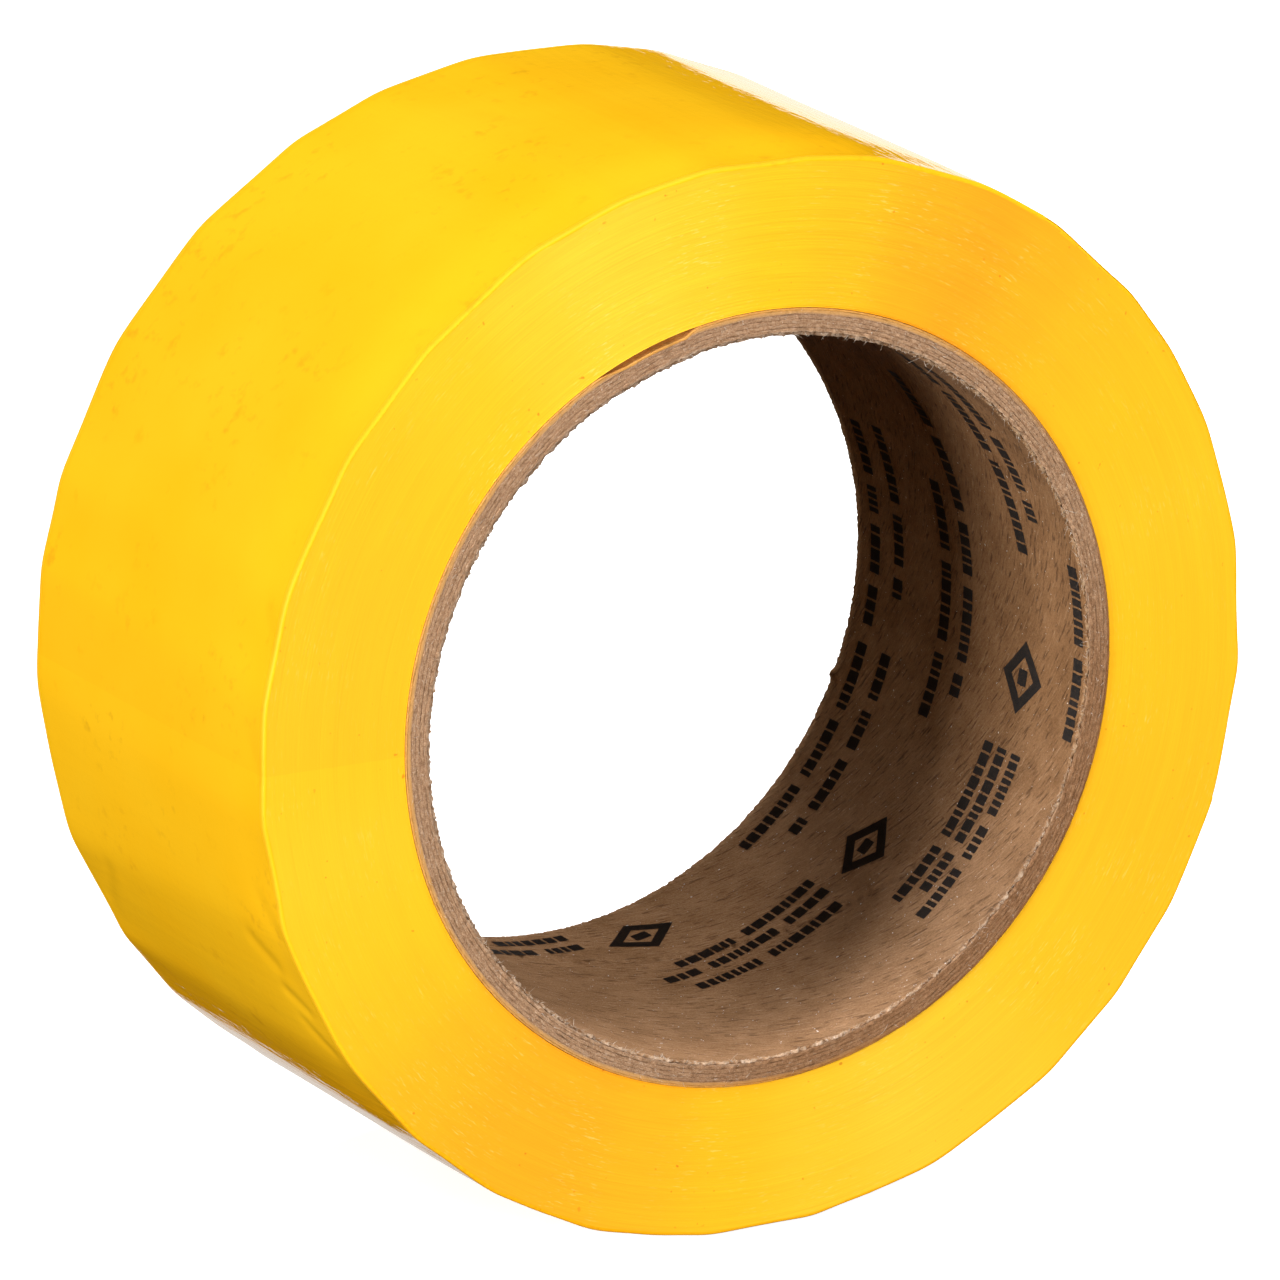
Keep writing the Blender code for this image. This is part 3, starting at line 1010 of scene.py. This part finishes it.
def build_free_end(materials):
    """Six lengths of film, one for each hinge, lying along the rim."""
    ends = [*END_HINGES[1:], END_TIP]
    middles = [(start + end) / 2 for start, end in zip(END_HINGES, ends)]
    borders = [float(END_HINGES[0]), *middles[:-1], float(END_TIP)]
    rows = rim_rows()
    rows = rows[(rows > END_INSET) & (rows < TAPE_WIDTH - END_INSET)]
    rows = np.concatenate([[END_INSET], rows, [TAPE_WIDTH - END_INSET]])
    looks = (materials["film"], materials["adhesive"])
    for number, hinge in enumerate(END_HINGES, start=1):
        start, stop = borders[number - 1], borders[number]
        count = max(8, int(round((stop - start) / 0.4)) + 1)
        bearings = np.linspace(start, stop, count)
        grid, ys = np.meshgrid(bearings, EDGE_FRONT + rows, indexing="ij")
        top = rim_radius(grid, ys) - FILM_TOP * recess_share(grid)
        if number == 1:
            top = top - 0.015 * smooth_step(start + 1.0, start, grid)
        radii, ys = film_section(top, ys, FILM_THICKNESS)
        across = radii.shape[1]
        half = across // 2
        caps = []
        if number == 1:
            caps = cap_faces(0, across)
        elif number == len(END_HINGES):
            caps = [quad[::-1] for quad in cap_faces((count - 1) * across, across)]
        slots = ([0] * half + [1] * (half - 1) + [0]) * (count - 1) + [0] * len(caps)
        name = f"tape_end_{number}_look"
        piece = loft(name, bearings, radii, ys, looks, sharp=60, closed=False, caps=caps, slots=slots)
        bend = FIRST_HINGE_BEND if number == 1 else HINGE_BEND
        bend_start = frame_point(max(hinge - HINGE_BEND, start))
        bend_end = frame_point(min(hinge + bend, stop))
        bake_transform(piece)
        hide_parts(f"tape_end_{number}")


# ---- stage, light and camera

FLOOR_STEPS = 96
FLOOR_REACH = 6.0
FLOOR_DROP = -0.0002
WALL_STEPS = 64
WALL_REACH = 5.9
WALL_FOOT = -0.01
WALL_HEIGHT = 6.0
AIM = Vector((0.0, 0.0, 0.057))

# Name, direction from the roll, distance, width, height, power, and whether the film reflects it.
# Power is the light that a surface square on to the box sends back, as a share of white.
SOFTBOXES = (
    ("top_box", (0.0, -0.17, 0.98), 1.3, 0.32, 0.32, 0.70, True),
    ("left_box", (-0.96, -0.225, 0.05), 1.3, 0.32, 0.50, 1.20, True),
    ("right_box", (0.97, 0.13, 0.10), 1.4, 0.20, 0.60, 0.45, False),
    ("front_box", (0.0, -0.98, 0.18), 1.6, 0.5, 0.4, 0.98, False),
    ("upper_back_box", (0.514, 0.60, 0.613), 1.4, 0.4, 0.4, 0.75, False),
    ("back_box", (0.05, 0.99, 0.08), 1.6, 0.4, 0.4, 0.50, False),
)

# The card behind the roll that the film reflects in two pale bands
CARD_MIDDLE = Vector((0.57, 1.0, -0.27))
CARD_SLANT = math.radians(27)
CARD_HALF_HEIGHT = 0.35
CARD_HALF_WIDTH = 0.22

CAMERA_AZIMUTH = math.radians(-28.7)
CAMERA_ELEVATION = math.radians(16.5)
CAMERA_DISTANCE = 1.359
CAMERA_AIM = Vector((0.0, -0.0016, 0.05658))


def stage_piece(name, points, faces, material, camera=False, glossy=False):
    """A mesh that casts no shadow and lights nothing, seen by the camera or only in reflections."""
    mesh = bpy.data.meshes.new(name)
    mesh.from_pydata(points, [], faces)
    mesh.materials.append(material)
    piece = bpy.data.objects.new(name, mesh)
    bpy.context.scene.collection.objects.link(piece)
    piece.visible_camera = camera
    piece.visible_glossy = glossy
    piece.visible_diffuse = False
    piece.visible_transmission = False
    piece.visible_volume_scatter = False
    piece.visible_shadow = False


def glow_graph(name, colour):
    """A material that only gives off light, and its emission node."""
    graph = Graph(name)
    graph.tree.nodes.clear()
    glow = graph.add("ShaderNodeEmission", {"Color": colour, "Strength": 1.0})
    output = graph.add("ShaderNodeOutputMaterial")
    graph.plug(output.inputs["Surface"], glow.outputs["Emission"])
    return graph, glow


def circle(steps, reach, height):
    angles = [2 * math.pi * index / steps for index in range(steps)]
    return [(reach * math.cos(angle), reach * math.sin(angle), height) for angle in angles]


def build_floor():
    graph = Graph("studio_floor")
    tone = graph.noise(graph.add("ShaderNodeTexCoord").outputs["Object"], 2.0, 0.5, 3.0)
    colour = graph.mixed(tone, rgb(0.80, 0.80, 0.80), rgb(0.82, 0.82, 0.82))
    graph.shade({"Base Color": colour, "Roughness": 1.0, "Specular IOR Level": 0.0})
    graph.shade({"Emission Color": rgb(1.0, 1.0, 1.0), "Emission Strength": 0.80})
    points = [(0.0, 0.0, FLOOR_DROP), *circle(FLOOR_STEPS, FLOOR_REACH, FLOOR_DROP)]
    faces = [(0, index + 1, (index + 1) % FLOOR_STEPS + 1) for index in range(FLOOR_STEPS)]
    stage_piece("studio_floor", points, faces, graph.material, camera=True)


def build_backdrop():
    """A tall white wall all round, far off. Only the camera sees it."""
    graph, _ = glow_graph("studio_wall", rgb(1.0, 1.0, 1.0))
    points = circle(WALL_STEPS, WALL_REACH, WALL_FOOT) + circle(WALL_STEPS, WALL_REACH, WALL_HEIGHT)
    faces = []
    for low in range(WALL_STEPS):
        after = (low + 1) % WALL_STEPS
        faces.append((low, after, after + WALL_STEPS, low + WALL_STEPS))
    stage_piece("studio_wall", points, faces, graph.material, camera=True)


def build_card():
    """A white card, brighter at the top, that is only seen as a reflection in the film."""
    up = Vector((math.sin(CARD_SLANT), 0.0, math.cos(CARD_SLANT))) * CARD_HALF_HEIGHT
    across = Vector((math.cos(CARD_SLANT), 0.0, -math.sin(CARD_SLANT))) * CARD_HALF_WIDTH
    corners = [CARD_MIDDLE + up * end + across * side for end, side in ((-1, -1), (1, -1), (1, 1), (-1, 1))]
    heights = [corner.z for corner in corners]
    graph, glow = glow_graph("silhouette_card", rgb(1.0, 0.985, 0.965))
    height = graph.parted(graph.add("ShaderNodeTexCoord").outputs["Object"])["Z"]
    strength = graph.span(height, min(heights), max(heights), 0.50, 1.15)
    graph.plug(glow.inputs["Strength"], strength)
    stage_piece("silhouette_card", corners, [(0, 1, 2, 3)], graph.material, glossy=True)


def softbox(name, direction, distance, width, height, power, glossy):
    data = bpy.data.lights.new(name, "AREA")
    data.shape = "RECTANGLE"
    data.size = width
    data.size_y = height
    data.energy = power * math.pi**2 * distance**2
    box = bpy.data.objects.new(name, data)
    bpy.context.scene.collection.objects.link(box)
    box.location = AIM + Vector(direction).normalized() * distance
    box.rotation_euler = Vector(direction).to_track_quat("Z", "Y").to_euler()
    box.visible_glossy = glossy
    box.visible_camera = False


def build_studio():
    world = bpy.data.worlds.new("studio_air")
    bpy.context.scene.world = world
    world.use_nodes = True
    background = world.node_tree.nodes["Background"]
    background.inputs["Color"].default_value = rgb(1.0, 1.0, 1.0)
    background.inputs["Strength"].default_value = 0.018
    world.cycles_visibility.glossy = False
    for box in SOFTBOXES:
        softbox(*box)
    build_card()


def build_camera():
    level = math.cos(CAMERA_ELEVATION)
    x = math.sin(CAMERA_AZIMUTH) * level
    y = -math.cos(CAMERA_AZIMUTH) * level
    back = Vector((x, y, math.sin(CAMERA_ELEVATION)))
    data = bpy.data.cameras.new("camera")
    data.sensor_width = 36.0
    data.lens = 371.3
    data.shift_x = -0.0078
    data.shift_y = 0.0016
    data.clip_start = 0.01
    data.clip_end = 50.0
    camera = bpy.data.objects.new("camera", data)
    bpy.context.scene.collection.objects.link(camera)
    camera.location = CAMERA_AIM + back * CAMERA_DISTANCE
    camera.rotation_euler = (-back).to_track_quat("-Z", "Y").to_euler()
    bpy.context.scene.camera = camera


# Dark, light and pale colours of the cut board
BOARD_TONES = (rgb(0.225, 0.112, 0.054), rgb(0.490, 0.300, 0.175), rgb(0.68, 0.52, 0.38))
LINER_TONES = (rgb(0.520, 0.225, 0.045), rgb(0.720, 0.370, 0.095), rgb(0.74, 0.46, 0.20))
# The outer liner's darker colour on the right, a painted shade
PAINTED_SHADE_LINER = rgb(0.34, 0.17, 0.075)


def main():
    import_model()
    bpy.context.scene.view_settings.view_transform = "Standard"
    materials = {
        "kraft": kraft_material(),
        "board": board_material("paperboard", *BOARD_TONES, tan=rgb(0.62, 0.32, 0.10)),
        "outer": board_material("outer_liner", *LINER_TONES, plain=PAINTED_SHADE_LINER),
        "wound": wound_tape_material(),
        "film": film_material(),
        "adhesive": film_material("film_adhesive_side", inner=True),
        "ink": ink_material(),
        "fibre": fibre_material(),
    }
    build_core(materials)
    build_fibres(materials["fibre"])
    build_marks(materials["ink"])
    build_wound_tape(materials)
    build_outer_wrap(materials)
    build_free_end(materials)
    build_floor()
    build_backdrop()
    build_studio()
    build_camera()


main()
